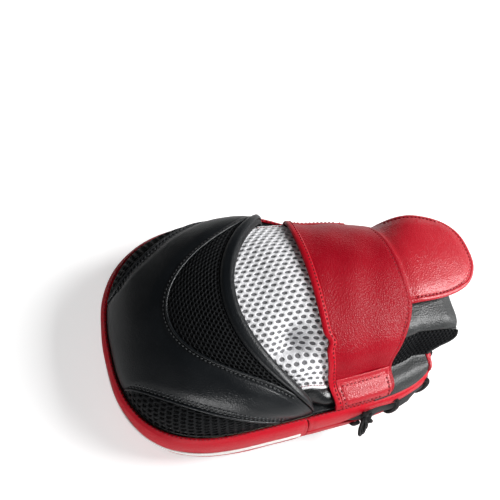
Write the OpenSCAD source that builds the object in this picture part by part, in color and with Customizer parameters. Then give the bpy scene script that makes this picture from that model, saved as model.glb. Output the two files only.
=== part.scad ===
// Focus mitt: a curved padded striking body with a hooded hand cover on its back,
// a hand strap, a padded wrist cuff and a rounded wrist flap that lifts.
// Millimetres. X runs from the fingertips to the wrist, Y across, +Z up,
// with the striking face down. The soft parts are drawn flat as (u, v, w) and bent.

/* [Pad] */
// Length of the padded body along the striking face
pad_length = 250; // [234:1:263]
// Width of the padded body at its widest place
pad_width = 190; // [178:1:203]
// Thickness of the padded body
pad_thick = 38; // [34:1:44]
// Distance from the fingertip end to the widest place
tip_to_wide = 88; // [82:1:97]
// Squareness of the fingertip end (2 is an ellipse)
tip_square = 2.5; // [2.3:0.01:2.8]
// Squareness of the wrist end (2 is an ellipse)
wrist_square = 6; // [5:0.1:7]
// Share of the width lost towards the wrist
wrist_taper = 0.13; // [0.05:0.01:0.2]
// Share of its width by which the strap draws in the far side
far_draw = 0.12; // [0.04:0.01:0.15]
// Radius of the lengthwise curve of the striking face
bend_radius = 600; // [450:10:900]

/* [Covers] */
// Thickness of the face and back leather
cover_thick = 2; // [1.5:0.1:2.5]
// Space left between sewn or glued layers
seam_gap = 0.3; // [0.25:0.05:0.4]
// Depth of the soft striking foam
face_foam_depth = 10; // [8:0.1:11.5]
// Depth of the dense middle foam
core_foam_depth = 13.5; // [11:0.1:15]

/* [Rim] */
// How far the rim leather laps onto the face and the back
rim_lap = 7; // [6:0.5:9]
// Thickness of the rim leather
rim_thick = 2; // [1.6:0.1:2.2]
// Half angle of the laced wrist part of the rim, seen from above
lace_half_angle = 62.8; // [60:0.2:66]
// Half width of the slit between the two laced rims, in degrees of the rim section
slit_half_angle = 16; // [12:0.5:18]

/* [Lace] */
// Radius of the lace
lace_radius = 1.5; // [1.2:0.1:1.6]
// Number of laced steps round the wrist end
lace_steps = 10; // [8:1:11]
// Half angle that the lacing covers, seen from above
lace_span_angle = 47; // [44:1:50]
// Angle of the lace holes away from the middle of the rim section
lace_hole_angle = 34; // [32:1:37]
// Radius of the lace holes
lace_hole_radius = 3.1; // [2.9:0.1:3.3]
// Radius of the end knots
knot_radius = 3.8; // [3.2:0.1:4.2]

/* [Hood] */
// Height of the hood above the back panel at its opening
hood_height = 47; // [42:1:52]
// Where the hood's opening meets the rim, from the middle of the pad
hood_corner_u = 14.5; // [10:0.5:19]
// How far the opening is scooped towards the fingertips
hood_scoop = 40; // [34:1:46]
// Thickness of the hood's outer panels
hood_thick = 2.2; // [1.6:0.1:2.6]
// Thickness of the hood's padded lining
lining_thick = 3.5; // [2.5:0.1:4]
// Width of the opening's binding, as a share of the hood's depth
binding_share = 0.11; // [0.09:0.01:0.13]
// Depth of the mesh crescent, as a share of the hood's depth
crescent_share = 0.4; // [0.34:0.005:0.44]

/* [Hand back] */
// How far the mesh over the hand lies below the hood and the strap
mesh_drop = 0.6; // [0.4:0.1:2]
// Thickness of the mesh
mesh_thick = 1.6; // [1.2:0.1:2]

/* [Strap] */
// Fingertip-side edge of the hand strap at its crown
strap_start_u = 26; // [23:0.5:29.5]
// Wrist-side edge of the hand strap at its crown
strap_end_u = 94.5; // [91:0.5:97.5]
// Height of the strap's crown above the back panel
strap_height = 46; // [42:0.5:50]
// Thickness of the strap
strap_thick = 2.4; // [2:0.1:2.6]
// Width of the folded binding on the strap's edge
strap_binding_w = 6.5; // [5:0.5:9]

/* [Wrist flap] */
// Width of the wrist flap
flap_width = 94; // [82:1:98]
// Length of the wrist flap beyond the strap
flap_length = 63; // [54:1:67]
// How far the flap's middle sits to the far side
flap_offset = 24; // [16:1:26]
// How far the flap's tip droops
flap_droop = 2; // [1:0.5:5]

/* [Cuff] */
// Room between the wrist cushion's tape and the flap's tape
cuff_drop = 0.5; // [0.4:0.1:2]
// Thickness of the wrist cushion
cushion_thick = 8; // [7:0.5:9]
// Thickness of the cuff's side leather
cuff_thick = 2.2; // [1.8:0.1:2.6]
// Fingertip-side end of the cuff under the strap
cuff_start_u = 62; // [58:1:68]
// Wrist-side end of the cuff at its crown
cuff_end_u = 134.5; // [128:0.5:138]
// Height of the grip under the palm
grip_height = 13; // [10:0.5:16]

/* [Hidden] */
half_length = pad_length / 2;
wide_u = tip_to_wide - half_length;
wrist_reach = pad_length - tip_to_wide;
half_thick = pad_thick / 2;
deck = pad_thick + seam_gap;
hood_inset = rim_lap + 0.5;
side_inset = hood_inset + 3.2;
tuck_inset = hood_inset + hood_thick + lining_thick + 3 * seam_gap + 0.6;
strap_inset = rim_lap - 0.5;
face_top = cover_thick + seam_gap + face_foam_depth;
core_top = face_top + seam_gap + core_foam_depth;
back_low = pad_thick - cover_thick;
lace_offset = rim_thick / 2 + lace_radius + 1;
foam_gap = 1;
cover_inset = rim_lap + 0.4;
lace_room = lace_offset + lace_radius - rim_thick / 2 + 0.6;
hood_power = 0.85;
wall_power = 0.55;
arch_power = 1.1;
strap_power = 1.15;
strap_lead = 5;
strap_trail = 16;
strap_lean = 0.07;
side_top = 0.139;
opening_power = 2;
corner_trim = 0.008;
foot = 0.0001;
gusset_from = 0.057;
gusset_reach = 0.394;
gusset_rise = 0.285;
flap_start_u = strap_end_u + 0.7;
flap_top = strap_height - strap_thick - 0.6;
flap_thick = 2;
flap_lining_thick = 1.2;
flap_end = 0.997;
flap_gap = 0.6;
tape_thick = 1.1;
patch_thick = 0.9;
patch_width = 22;
mesh_tuck = 9;
side_tuck = 18;
mesh_height = hood_height - hood_thick - lining_thick - 3 * seam_gap - mesh_drop;
strap_room = strap_height - strap_thick - seam_gap - mesh_drop;
cuff_height = flap_top - flap_thick - flap_lining_thick - tape_thick - patch_thick
    - 2 * flap_gap - seam_gap - cuff_drop;
cuff_cut = 23;
cuff_hold = 25;
cuff_fall = 3;
tape_start_u = cuff_start_u + 6;
degree = 180 / PI;
lift = bend_radius * (1 - cos((half_length - rim_lap) / bend_radius * degree));
low_x = -(bend_radius + half_thick) * sin(half_length / bend_radius * degree);
high_x = (bend_radius + deck + flap_top - flap_droop)
    * sin((flap_start_u + flap_length * flap_end) / bend_radius * degree);
shift_x = -(low_x + high_x) / 2;

// Bends a flat point (u, v, w) round the striking face's long curve
function place(p) =
    let (
        a = p[0] / bend_radius * degree,
        r = bend_radius + p[2],
        draw = p[1] > 0 ? far_draw * ramp(p[0], hood_corner_u - 6, hood_corner_u + 30) : 0
    )
    [r * sin(a) + shift_x, p[1] * (1 - draw), r * cos(a) - bend_radius + lift];

function clamp(x, low, high) = min(max(x, low), high);
function ramp(x, from, to) =
    let (s = clamp((x - from) / (to - from), 0, 1)) s * s * (3 - 2 * s);

// Plan outline of the pad at a polar angle, drawn in by inset; 0 is the wrist end
function outline(angle, inset) =
    let (
        c = cos(angle),
        s = sin(angle),
        a = (c < 0 ? tip_to_wide : wrist_reach) - inset,
        b = pad_width / 2 - inset,
        n = c < 0 ? tip_square : wrist_square,
        r = pow(pow(abs(c) / a, n) + pow(abs(s) / b, n), -1 / n),
        along = c > 0 ? clamp(r * c / a, 0, 1) : 0
    )
    [wide_u + r * c, r * s * (1 - wrist_taper * pow(along, 1.5))];

// Half width of the outline at station u
function half_width(u, inset) =
    let (
        a = (u < wide_u ? tip_to_wide : wrist_reach) - inset,
        b = pad_width / 2 - inset,
        n = u < wide_u ? tip_square : wrist_square,
        s = clamp(abs(u - wide_u) / a, 0, 0.999),
        t = u < wide_u ? 1 : 1 - wrist_taper * pow(s, 1.5)
    )
    b * pow(1 - pow(s, n), 1 / n) * t;

// Polar angle of the outline point at station u
function angle_at(u, inset) =
    let (
        s = clamp((u - wide_u) / (wrist_reach - inset), 0, 0.999),
        b = (pad_width / 2 - inset) * pow(1 - pow(s, wrist_square), 1 / wrist_square)
    )
    atan2(b, u - wide_u);

// Rim section: angle 0 is its lip on the face, 180 its lip on the back
function rim_inset(section, depth) =
    rim_lap * (1 - pow(sin(section), 0.6)) + depth * sin(section);
function rim_level(section, depth) =
    half_thick * (1 - cos(section)) + depth * cos(section);
function rim_point(angle, section, depth) =
    let (p = outline(angle, rim_inset(section, depth)))
    place([p[0], p[1], rim_level(section, depth)]);

function laced(angle) = 1 - ramp(abs(angle), lace_half_angle - 9, lace_half_angle);

// Inset of a foam layer's edge at level w
function foam_inset(w) =
    let (section = acos(clamp((half_thick - w) / (half_thick - rim_thick), -1, 1)))
    rim_inset(section, rim_thick) + foam_gap;

// Closed solid between two grids of points with the same rows and columns
module shell(top, bottom) {
    rows = len(top);
    cols = len(top[0]);
    half = rows * cols;
    points = concat([for (row = top) each row], [for (row = bottom) each row]);
    facing = cross(top[1][0] - top[0][0], top[0][1] - top[0][0])
        * (top[0][0] - bottom[0][0]);
    faces = [
        for (i = [0 : rows - 2]) for (j = [0 : cols - 2]) each
            let (a = i * cols + j, b = a + 1, c = a + cols, d = c + 1)
            [[a, b, c], [b, d, c],
             [half + a, half + c, half + b], [half + b, half + c, half + d]],
        for (i = [0 : rows - 2]) each
            let (a = i * cols, c = a + cols, b = a + cols - 1, d = c + cols - 1)
            [[a, c, half + a], [c, half + c, half + a],
             [b, half + b, d], [d, half + b, half + d]],
        for (j = [0 : cols - 2]) each
            let (a = j, b = j + 1, c = (rows - 1) * cols + j, d = c + 1)
            [[a, half + a, b], [b, half + a, half + b],
             [c, d, half + c], [d, half + d, half + c]]
    ];
    polyhedron(points = points,
        faces = facing > 0 ? faces : [for (f = faces) [f[2], f[1], f[0]]],
        convexity = 6);
}

// Level of a plate: rungs across the pad, from the wrist end to the fingertips
rungs = 34;
function rung_angle(i) = 3 + 174 * i / rungs;
function plate_level(inset, extra, w) =
    [for (i = [0 : rungs])
        let (p = outline(rung_angle(i), inset + extra * laced(rung_angle(i))))
        [place([p[0], -p[1], w]), place([p[0], p[1], w])]];

module plate(low, low_inset, low_extra, high, high_inset, high_extra) {
    shell(plate_level(high_inset, high_extra, high), plate_level(low_inset, low_extra, low));
}

module front_cover() {
    color([0.06, 0.06, 0.07])
        plate(0, cover_inset, 0, cover_thick, cover_inset, 0);
}

module face_foam() {
    low = cover_thick + seam_gap;
    color([0.85, 0.83, 0.75])
        plate(low, cover_inset, 0, face_top, foam_inset(face_top), lace_room);
}

module core_foam() {
    low = face_top + seam_gap;
    color([0.55, 0.55, 0.58])
        plate(low, foam_inset(low), lace_room, core_top, foam_inset(core_top), lace_room);
}

module back_foam() {
    low = core_top + seam_gap;
    high = back_low - seam_gap;
    color([0.85, 0.83, 0.75])
        plate(low, foam_inset(low), lace_room, high, cover_inset, 0);
}

module back_panel() {
    color([0.08, 0.08, 0.09])
        plate(back_low, cover_inset, 0, pad_thick, cover_inset, 0);
}

// Strip of rim leather between two plan angles and two section angles
function rim_grid(from, to, steps, low, high, rings, depth) =
    [for (i = [0 : steps]) [for (j = [0 : rings])
        rim_point(from + (to - from) * i / steps, low + (high - low) * j / rings, depth)]];

module rim_strip(from, to, steps, low, high, rings, outer, inner) {
    shell(rim_grid(from, to, steps, low, high, rings, outer),
        rim_grid(from, to, steps, low, high, rings, inner));
}

module finger_rim() {
    color([0.75, 0.05, 0.12])
        rim_strip(lace_half_angle + 0.3, 359.7 - lace_half_angle, 34, 1, 179, 8, 0, rim_thick);
}

module lace_hole(angle, section) {
    outer = rim_point(angle, section, -1);
    inner = rim_point(angle, section, rim_thick);
    n = outer - inner;
    translate((outer + inner) / 2)
        rotate([0, acos(n[2] / norm(n)), atan2(n[1], n[0])])
            cylinder(h = 12, r = lace_hole_radius, center = true, $fn = 16);
}

function lace_angle(i) = -lace_span_angle + 2 * lace_span_angle * i / lace_steps;

module wrist_rim_upper() {
    color([0.75, 0.05, 0.12])
        difference() {
            rim_strip(-lace_half_angle, lace_half_angle, 24,
                90 + slit_half_angle, 179, 4, 0, rim_thick);
            for (i = [1 : lace_steps]) lace_hole(lace_angle(i), 90 + lace_hole_angle);
        }
}

module wrist_rim_lower() {
    color([0.75, 0.05, 0.12])
        difference() {
            rim_strip(-lace_half_angle, lace_half_angle, 24,
                1, 90 - slit_half_angle, 4, 0, rim_thick);
            for (i = [0 : lace_steps - 1]) lace_hole(lace_angle(i), 90 - lace_hole_angle);
        }
}

module rim_piping() {
    color([0.92, 0.92, 0.9])
        rim_strip(lace_half_angle + 3, 357 - lace_half_angle, 34, 80, 96, 2,
            -seam_gap - 0.8, -seam_gap);
}

// The lace goes down outside the rim, in through the lower hole and up to the next one
lace_rings = 12;
function lace_turn(i) = 90 + 360 * i / lace_rings;
function lace_path(i) =
    let (
        turn = lace_turn(i),
        loop = floor(turn / 360),
        part = turn - 360 * loop,
        step = loop + ramp(part, 180, 360),
        out = sign(sin(part)) * pow(abs(sin(part)), 0.4)
    )
    [lace_angle(step), 90 + lace_hole_angle * cos(part), rim_thick / 2 - lace_offset * out];
lace_count = lace_rings * lace_steps;
lace_route = [for (i = [0 : lace_count])
    let (p = lace_path(i)) rim_point(p[0], p[1], p[2])];
lace_sides = 8;

// Least gap between two parts of the lace that are not neighbours on it
lace_gap = min([for (i = [0 : lace_count]) for (j = [i + 4 : 1 : lace_count])
    norm(lace_route[i] - lace_route[j])]) - 2 * lace_radius;
echo(lace_gap = lace_gap);

module rim_lace() {
    rings = [for (i = [0 : lace_count])
        let (
            p = lace_path(i),
            ahead = lace_route[min(i + 1, lace_count)] - lace_route[max(i - 1, 0)],
            dir = ahead / norm(ahead),
            along = rim_point(p[0] + 1, p[1], p[2]) - rim_point(p[0] - 1, p[1], p[2]),
            side = cross(dir, along),
            x = side / norm(side),
            y = cross(dir, x)
        )
        [for (k = [0 : lace_sides - 1])
            lace_route[i] + lace_radius * (cos(360 * k / lace_sides) * x
                + sin(360 * k / lace_sides) * y)]];
    points = [for (ring = rings) each ring];
    last = lace_count * lace_sides;
    faces = [
        for (i = [0 : lace_count - 1]) for (k = [0 : lace_sides - 1]) each
            let (n = (k + 1) % lace_sides, a = i * lace_sides + k, b = i * lace_sides + n)
            [[a, a + lace_sides, b], [b, a + lace_sides, b + lace_sides]],
        [for (k = [0 : lace_sides - 1]) k],
        [for (k = [lace_sides - 1 : -1 : 0]) last + k]
    ];
    color([0.05, 0.05, 0.06])
        union() {
            polyhedron(points = points, faces = faces, convexity = 10);
            for (i = [0, lace_count])
                translate(rim_point(lace_path(i)[0], 90, -knot_radius - 0.4))
                    sphere(r = knot_radius, $fn = 16);
        }
}

// Hood surface: t runs along the rim from the near corner over the fingertips to the
// far corner, r from the rim (0) to the opening (1), depth is measured inwards
hood_angle = angle_at(hood_corner_u, hood_inset);
function opening(t, depth) =
    [hood_corner_u - hood_scoop * pow(sin(180 * t), opening_power),
     -half_width(hood_corner_u, hood_inset + depth) * cos(180 * t)];
function hood_flat(t, r, depth) =
    let (
        rim = outline(360 - hood_angle - t * (360 - 2 * hood_angle), hood_inset + depth),
        edge = opening(t, depth),
        plan = rim * (1 - r) + edge * r,
        rise = (hood_height - depth) * pow(sin(180 * t), hood_power) * pow(sin(90 * r), wall_power)
    )
    [plan[0], plan[1], deck + rise];
function hood_point(t, r, depth) = place(hood_flat(t, r, depth));
function hood_run(t) = norm(hood_flat(t, 1, 0) - hood_flat(t, 0, 0));
function seam_share(t) = min(0.02, seam_gap * 0.6 / hood_run(t));

function gusset_edge(t) =
    let (
        s = t > 0.5 ? 1 - t : t,
        x = clamp((s - gusset_from) / (gusset_reach - gusset_from), 0, 1)
    )
    gusset_rise * pow(max(0, sin(180 * x)), 0.7);
function crescent_edge(t) =
    1 - binding_share - crescent_share * pow(max(0, sin(180 * clamp((t - 0.1) / 0.8, 0, 1))), 2.7);

// Stations along the hood: pieces that meet at a seam share them
gusset_cols = 12;
gusset_stations = [for (i = [0 : gusset_cols])
    gusset_from + (gusset_reach - gusset_from) * (1 - cos(180 * i / gusset_cols)) / 2];
hood_stations = concat(
    [corner_trim, (corner_trim + gusset_from) / 2],
    gusset_stations,
    [for (i = [1 : 6]) gusset_reach + (1 - 2 * gusset_reach) * i / 7],
    [for (i = [gusset_cols : -1 : 0]) 1 - gusset_stations[i]],
    [1 - (corner_trim + gusset_from) / 2, 1 - corner_trim]);
function even_stations(t0, t1, cols) = [for (i = [0 : cols]) t0 + (t1 - t0) * i / cols];

function hood_grid(stations, rows, low, high, depth) =
    [for (t = stations)
        [for (j = [0 : rows])
            hood_point(t, low(t) + (high(t) - low(t)) * j / rows, depth)]];

module hood_piece(stations, rows, low, high, outer, inner) {
    shell(hood_grid(stations, rows, low, high, outer),
        hood_grid(stations, rows, low, high, inner));
}

module hood_panel() {
    color([0.07, 0.07, 0.08])
        hood_piece(hood_stations, 5,
            function (t) gusset_edge(t) > 0.001 ? gusset_edge(t) + seam_share(t) : 0,
            function (t) crescent_edge(t) - seam_share(t), 0, hood_thick);
}

module hood_lining() {
    outer = hood_thick + 2 * seam_gap + 0.2;
    color([0.12, 0.12, 0.13])
        hood_piece(even_stations(corner_trim, 1 - corner_trim, 30), 6,
            function (t) 0, function (t) 1, outer, outer + lining_thick);
}

module hood_mesh_crescent() {
    color([0.1, 0.1, 0.11])
        hood_piece([for (t = hood_stations) if (t > 0.19 && t < 0.81) t], 3,
            function (t) crescent_edge(t) + seam_share(t),
            function (t) 1 - binding_share - seam_share(t), 0.5, hood_thick);
}

module gusset(stations) {
    color([0.1, 0.1, 0.11])
        hood_piece(stations, 4, function (t) 0,
            function (t) gusset_edge(t) - seam_share(t), 0, hood_thick);
}

module near_gusset() {
    gusset([for (i = [1 : gusset_cols - 1]) gusset_stations[i]]);
}

module far_gusset() {
    gusset([for (i = [gusset_cols - 1 : -1 : 1]) 1 - gusset_stations[i]]);
}

module hood_binding() {
    color([0.07, 0.07, 0.08])
        hood_piece(hood_stations, 2,
            function (t) 1 - binding_share + seam_share(t), function (t) 1, -0.8, hood_thick);
}

// Arch over the hand: t runs from the near rim (0) to the far rim (1)
function arch_flat(u, t, half, height, power) =
    [u, -half * cos(180 * t), deck + height * pow(sin(180 * t), power)];

// The hand cover tucks under the hood and meets the rim beyond it
function cover_half(u, depth) =
    half_width(max(u, hood_corner_u), side_inset + (tuck_inset - side_inset)
        * (1 - ramp(u, hood_corner_u - 2, hood_corner_u + 12)) + depth);
function cover_point(u, t, depth) =
    let (s = ramp(u, strap_start_u - 41, strap_start_u))
    place(arch_flat(u, t, cover_half(u, depth), mesh_height * (1 - s) + strap_room * s - depth,
        hood_power * (1 - s) + strap_power * s));

function cover_grid(t0, t1, cols, rows, left, right, depth) =
    [for (i = [0 : cols])
        let (t = t0 + (t1 - t0) * i / cols)
        [for (j = [0 : rows])
            cover_point(left(t) + (right(t) - left(t)) * j / rows, t, depth)]];

module cover_piece(t0, t1, cols, rows, left, right, outer, inner) {
    shell(cover_grid(t0, t1, cols, rows, left, right, outer),
        cover_grid(t0, t1, cols, rows, left, right, inner));
}

module hand_mesh() {
    color([0.85, 0.85, 0.86])
        cover_piece(side_top + 0.001, 1 - side_top - 0.001, 20, 6, function (t) opening(t, 0)[0] - mesh_tuck * pow(sin(180 * t), 2),
            function (t) strap_start_u + mesh_tuck, 0, mesh_thick);
}

module side_strip(t0, t1) {
    color([0.08, 0.08, 0.09])
        cover_piece(t0, t1, 4, 3, function (t) opening(t, 0)[0] + 3,
            function (t) strap_start_u + side_tuck, 0, mesh_thick);
}

module near_side_strip() {
    side_strip(foot, side_top - 0.001);
}

module far_side_strip() {
    side_strip(1 - side_top + 0.001, 1 - foot);
}

// Strap edges: broad over the hand and along the flap, narrower where it is sewn to the rim
function strap_left(t) = strap_start_u + strap_lead * pow(abs(cos(180 * t)), 6);
function strap_right(t) = strap_end_u - strap_trail
    * max(ramp(0.5 + strap_lean - t, 0.16, 0.4), ramp(t, 0.834, 0.866));
function strap_point(u, t, depth) =
    place(arch_flat(u, t, half_width(u, strap_inset + depth), strap_height - depth,
        strap_power));
function strap_grid(t0, t1, cols, rows, left, right, depth) =
    [for (i = [0 : cols])
        let (t = t0 + (t1 - t0) * i / cols)
        [for (j = [0 : rows])
            strap_point(left(t) + (right(t) - left(t)) * j / rows, t, depth)]];

module strap_piece(t0, t1, cols, rows, left, right, outer, inner) {
    shell(strap_grid(t0, t1, cols, rows, left, right, outer),
        strap_grid(t0, t1, cols, rows, left, right, inner));
}

module hand_strap() {
    color([0.78, 0.06, 0.14])
        strap_piece(foot, 1 - foot, 30, 5, function (t) strap_left(t),
            function (t) strap_right(t), 0, strap_thick);
}

module strap_binding() {
    color([0.72, 0.05, 0.12])
        strap_piece(0.004, 0.996, 30, 1, function (t) strap_left(t),
            function (t) strap_left(t) + strap_binding_w, -seam_gap - 1, -seam_gap);
}

module strap_tab(t0, t1) {
    color([0.75, 0.05, 0.13])
        strap_piece(t0, t1, 5, 2, function (t) strap_left(t) + strap_binding_w + 0.8,
            function (t) strap_right(t) - 3, -seam_gap - 1.2, -seam_gap);
}

module near_strap_tab() {
    strap_tab(0.004, 0.165);
}

module far_strap_tab() {
    strap_tab(0.87, 0.996);
}

module flap_seam_strip() {
    depth = strap_thick + seam_gap;
    color([0.7, 0.05, 0.12])
        strap_piece(0.42, 0.8, 12, 1, function (t) strap_end_u - 14,
            function (t) strap_right(t) - 0.4, depth, depth + 1.6);
}

// Wrist flap: s runs from its seam to its tip, q across it, depth downwards
flap_arch_half = half_width(strap_end_u, strap_inset);
flap_flatten = 35;
function flap_half(s) = flap_width / 2 * pow(1 - pow(s, 2.7), 1 / 2.7);
function flap_point(s, v, depth) =
    let (
        drop = flap_droop * pow(max(0, s - 0.45) / 0.55, 2),
        half = flap_arch_half + flap_flatten * ramp(s, 0, 0.5),
        curve = pow(1 - pow(v / half, 2), strap_power / 2)
    )
    place([flap_start_u + flap_length * s, v, deck + (flap_top - drop) * curve - depth]);
function flap_grid(s0, s1, rows, cols, scale, depth) =
    [for (i = [0 : rows])
        let (s = s0 + (s1 - s0) * sin(90 * i / rows))
        [for (j = [0 : cols])
            flap_point(s, flap_offset + flap_half(s) * scale * (2 * j / cols - 1), depth)]];

module flap_piece(s0, s1, rows, cols, scale, outer, inner) {
    shell(flap_grid(s0, s1, rows, cols, scale, outer),
        flap_grid(s0, s1, rows, cols, scale, inner));
}

module wrist_flap() {
    color([0.8, 0.06, 0.15])
        flap_piece(0, flap_end, 10, 10, 1, 0, flap_thick);
}

module flap_lining() {
    depth = flap_thick + flap_gap;
    color([0.09, 0.09, 0.1])
        flap_piece(0.02, 0.95, 10, 10, 0.96, depth, depth + flap_lining_thick);
}

module flap_hook_patch() {
    depth = flap_thick + flap_lining_thick + 2 * flap_gap;
    color([0.05, 0.05, 0.05])
        flap_piece(0.05, 0.42, 6, 10, 0.55, depth, depth + tape_thick);
}

// Cuff: narrows round the wrist end and leans out over it
function cuff_half(u, depth) = half_width(min(u, half_length - cuff_hold), side_inset + depth);
function cuff_edge(t) = cuff_end_u - cuff_cut * (1 - ramp(sin(180 * t), 0.44, 0.72));
function cuff_point(u, t, depth) =
    place(arch_flat(u, t, cuff_half(u, depth), cuff_height - depth
        - cuff_fall * ramp(u, flap_start_u + patch_width + 2, cuff_end_u), arch_power));
function cuff_grid(t0, t1, cols, rows, left, right, depth) =
    [for (i = [0 : cols])
        let (t = t0 + (t1 - t0) * i / cols)
        [for (j = [0 : rows])
            cuff_point(left(t) + (right(t) - left(t)) * j / rows, t, depth)]];

module cuff_piece(t0, t1, cols, rows, left, right, outer, inner) {
    shell(cuff_grid(t0, t1, cols, rows, left, right, outer),
        cuff_grid(t0, t1, cols, rows, left, right, inner));
}

// Cushion: drawn in at its seams, full in the middle, with one shallow channel across
cushion_low = 0.27;
cushion_draw = 3.2;
channel_depth = 1.2;
function cushion_depth(i, j) =
    cushion_draw * (1 - (1 - pow(abs(2 * i - 1), 8)) * (1 - pow(abs(2 * j - 1), 8)))
    + channel_depth * exp(-pow((j - 0.84) / 0.05, 2));
function cushion_grid(cols, rows, inner) =
    [for (i = [0 : cols])
        let (t = cushion_low + (1 - 2 * cushion_low) * i / cols)
        [for (j = [0 : rows])
            let (
                u = cuff_start_u + (cuff_edge(t) - cuff_start_u) * j / rows,
                draw = cushion_depth(i / cols, j / rows)
            )
            cuff_point(u, t, inner ? cushion_thick - draw * 0.6 : draw)]];

module wrist_cushion() {
    color([0.1, 0.1, 0.11])
        shell(cushion_grid(20, 16, false), cushion_grid(20, 16, true));
}

module cuff_panel(t0, t1) {
    color([0.2, 0.2, 0.21])
        cuff_piece(t0, t1, 7, 4, function (t) cuff_start_u,
            function (t) cuff_edge(t), 0, cuff_thick);
}

module near_cuff_panel() {
    cuff_panel(foot, cushion_low - 0.003);
}

module far_cuff_panel() {
    cuff_panel(1.003 - cushion_low, 1 - foot);
}

module cuff_mesh_band() {
    color([0.05, 0.05, 0.05])
        cuff_piece(0.17, cushion_low - 0.008, 4, 4, function (t) tape_start_u,
            function (t) cuff_edge(t) - 1, -seam_gap - tape_thick, -seam_gap);
}

module cuff_loop_patch() {
    color([0.05, 0.05, 0.05])
        cuff_piece(0.43, 0.66, 10, 4, function (t) flap_start_u + 3,
            function (t) flap_start_u + patch_width, -seam_gap - patch_thick, -seam_gap);
}

module cuff_trim(t0, t1) {
    color([0.75, 0.05, 0.12])
        cuff_piece(t0, t1, 4, 1, function (t) cuff_edge(t) + seam_gap,
            function (t) cuff_edge(t) + 3.3, -0.8, cuff_thick);
}

module near_cuff_binding() {
    cuff_trim(0.004, 0.152);
}

module far_cuff_binding() {
    cuff_trim(0.848, 0.996);
}

// Palm grip: a padded half ball on the back panel, inside the hand space
grip_u = 45;
grip_half_length = 24;
grip_half_width = 32;
grip_rings = 5;
grip_sag = pow(grip_half_length, 2) / (2 * bend_radius);
function grip_ring(r, w) =
    [for (a = [0 : 20 : 340])
        place([grip_u + grip_half_length * r * cos(a), grip_half_width * r * sin(a), w])];

module palm_grip() {
    count = 18;
    rings = [for (i = [0 : grip_rings])
        let (a = 84 * i / grip_rings)
        grip_ring(cos(a), deck + grip_sag + grip_height * sin(a))];
    points = [for (ring = rings) each ring];
    last = grip_rings * count;
    faces = [
        for (i = [0 : grip_rings - 1]) for (k = [0 : count - 1]) each
            let (n = (k + 1) % count, a = i * count + k, b = i * count + n)
            [[a, a + count, b], [b, a + count, b + count]],
        for (k = [1 : count - 2]) [0, k, k + 1],
        for (k = [1 : count - 2]) [last, last + k + 1, last + k]
    ];
    color([0.09, 0.09, 0.1])
        polyhedron(points = points, faces = faces, convexity = 2);
}

front_cover();
face_foam();
core_foam();
back_foam();
back_panel();
finger_rim();
wrist_rim_upper();
wrist_rim_lower();
rim_piping();
rim_lace();
hood_panel();
hood_lining();
hood_mesh_crescent();
near_gusset();
far_gusset();
hood_binding();
hand_mesh();
near_side_strip();
far_side_strip();
hand_strap();
strap_binding();
near_strap_tab();
far_strap_tab();
flap_seam_strip();
wrist_flap();
flap_lining();
flap_hook_patch();
cuff_loop_patch();
wrist_cushion();
near_cuff_panel();
far_cuff_panel();
cuff_mesh_band();
near_cuff_binding();
far_cuff_binding();
palm_grip();
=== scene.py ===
"""Looks of the focus mitt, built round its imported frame, in the frame's own axes."""

import math

import bmesh
import bpy
import numpy as np
from mathutils import Matrix, Vector


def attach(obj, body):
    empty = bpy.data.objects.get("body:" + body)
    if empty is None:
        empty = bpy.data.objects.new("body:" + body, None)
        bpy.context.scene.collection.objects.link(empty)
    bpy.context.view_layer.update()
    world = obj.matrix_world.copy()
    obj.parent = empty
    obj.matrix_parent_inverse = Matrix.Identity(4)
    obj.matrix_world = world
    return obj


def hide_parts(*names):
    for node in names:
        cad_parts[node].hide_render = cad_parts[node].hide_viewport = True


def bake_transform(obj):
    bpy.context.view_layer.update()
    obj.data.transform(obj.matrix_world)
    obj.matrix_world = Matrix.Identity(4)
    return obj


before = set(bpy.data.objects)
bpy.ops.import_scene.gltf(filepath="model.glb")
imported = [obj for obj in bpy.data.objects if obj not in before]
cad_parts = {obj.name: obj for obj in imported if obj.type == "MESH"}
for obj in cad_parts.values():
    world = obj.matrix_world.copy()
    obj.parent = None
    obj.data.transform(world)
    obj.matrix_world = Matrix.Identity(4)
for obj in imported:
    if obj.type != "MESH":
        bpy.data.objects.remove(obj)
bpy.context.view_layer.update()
scene = bpy.context.scene

# Sizes of the part, in millimetres, degrees and shares of a surface
MM = 0.001
SEAM_GAP = 0.3
PAD_LENGTH = 250.0
PAD_WIDTH = 190.0
PAD_THICK = 38.0
TIP_TO_WIDE = 88.0
TIP_SQUARE = 2.5
WRIST_SQUARE = 6.0
WRIST_TAPER = 0.13
TAPER_POWER = 1.5
BEND_RADIUS = 600.0
HALF_LENGTH = PAD_LENGTH / 2
HALF_THICK = PAD_THICK / 2
WIDE_U = TIP_TO_WIDE - HALF_LENGTH
WRIST_REACH = PAD_LENGTH - TIP_TO_WIDE
DECK = PAD_THICK + SEAM_GAP

# Rim and lace
RIM_LAP = 7.0
RIM_THICK = 2.0
RIM_ROUND = 0.6
RIM_EDGES = (1, 179)
RIM_STITCH = 3.0
# Stitch rows of the rim: section and depth
RIM_ROWS = ((173.5, -0.1), (6.5, 0.45))
RIM_JOINT = 0.3
PIPING_EDGES = (80, 96)
PIPING_SHORT = 3.0
LACE_HALF_ANGLE = 62.8
LACE_FADE = 9.0
LACE_RADIUS = 1.5
LACE_STEPS = 10
LACE_SPAN_ANGLE = 47.0
LACE_HOLE_ANGLE = 34.0
LACE_LIFT = 10.0
LACE_OFFSET = RIM_THICK / 2 + LACE_RADIUS + 1
LACE_ROOM = LACE_OFFSET + LACE_RADIUS - RIM_THICK / 2 + 0.6
KNOT_PROUD = 4.2
KNOT_SIZE = 1.2
KNOT_CORD = 1.4
LOOP_CORD = 1.15
TAIL_CORD = 1.05
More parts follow.
